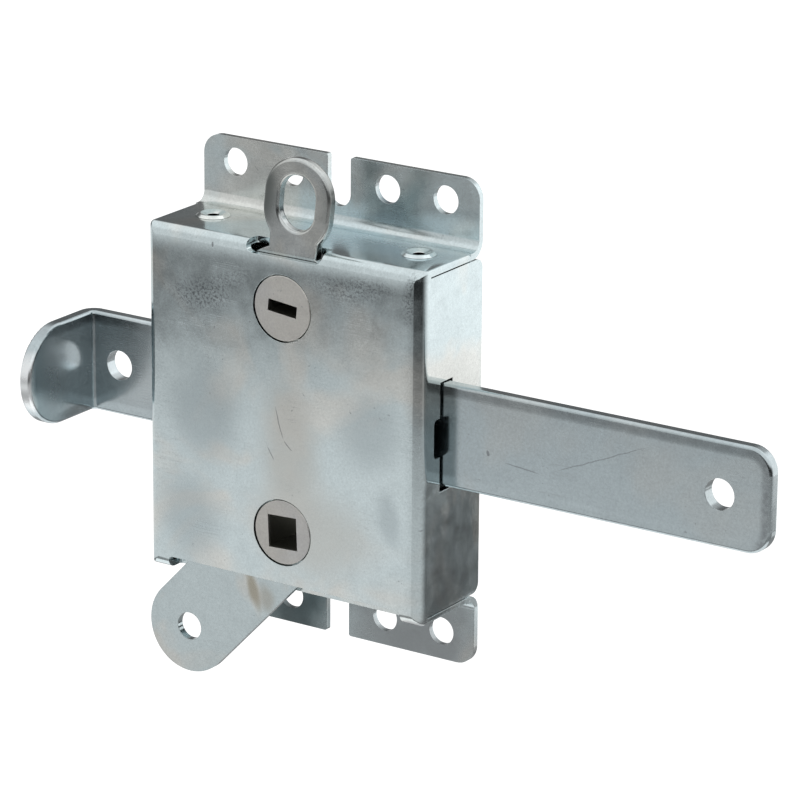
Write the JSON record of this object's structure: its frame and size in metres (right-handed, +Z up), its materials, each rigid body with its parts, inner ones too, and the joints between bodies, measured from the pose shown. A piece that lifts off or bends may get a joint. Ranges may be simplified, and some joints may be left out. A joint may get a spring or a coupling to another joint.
{
  "type": "garage door side lock",
  "caption": "Steel side lock for a garage door: a hub with a release lever throws a flat slide bolt sideways, and a slotted hub with a ring lever blocks it.",
  "frame": {"origin": "middle of the outer screw hole pattern, on the plane that lies against the door", "axes": "+X the way the bolt shoots, +Y out of the back of the case into the door, +Z up"},
  "size_m": [0.1934, 0.0423, 0.1349],
  "materials": {
    "case_sheet": "bright zinc plate on folded sheet",
    "plate_sheet": "bright zinc plate on sheet",
    "rivet_steel": "bright zinc plate, clinched",
    "bolt_bar": "bright zinc plate on flat bar",
    "hub_steel": "satin zinc plate",
    "lever_sheet": "bright zinc plate on sheet",
    "ring_sheet": "bright zinc plate on sheet with rounded edges",
    "works_steel": "bare and plated steel",
    "spring_steel": "blued spring steel"
  },
  "bodies": {
    "housing": {"case": "case_sheet", "back_plate": "plate_sheet", "case_rivets": "rivet_steel", "bolt_spring": "spring_steel", "spring_rivet": "works_steel"},
    "slide_bolt": {"bolt": "bolt_bar", "drive_stud": "works_steel", "stud_roller": "works_steel"},
    "release": {"drive_hub": "hub_steel", "release_lever": "lever_sheet", "drive_spacer": "works_steel", "drive_arm": "works_steel", "drive_sleeve": "works_steel", "drive_washer": "works_steel"},
    "ring": {"key_hub": "hub_steel", "ring_lever": "ring_sheet", "key_spacer": "works_steel", "locking_dog": "works_steel", "key_sleeve": "works_steel", "key_washer": "works_steel"}
  },
  "joints": [
    {"name": "bolt_slide", "type": "slide", "parent": "housing", "child": "slide_bolt", "axis": [-1, 0, 0], "range_m": [0, 0.0566]},
    {"name": "lever_turn", "type": "hinge", "parent": "housing", "child": "release", "pos_m": [0, -0.0127, -0.028], "axis": [0, -1, 0], "range_deg": [0, 86.8]},
    {"name": "ring_turn", "type": "hinge", "parent": "housing", "child": "ring", "pos_m": [0, -0.0127, 0.028], "axis": [0, -1, 0], "range_deg": [-7, 17.5]}
  ],
  "couplings": [
    {"joint": "lever_turn", "follows": "bolt_slide", "rad_per_m": 26.745}
  ]
}
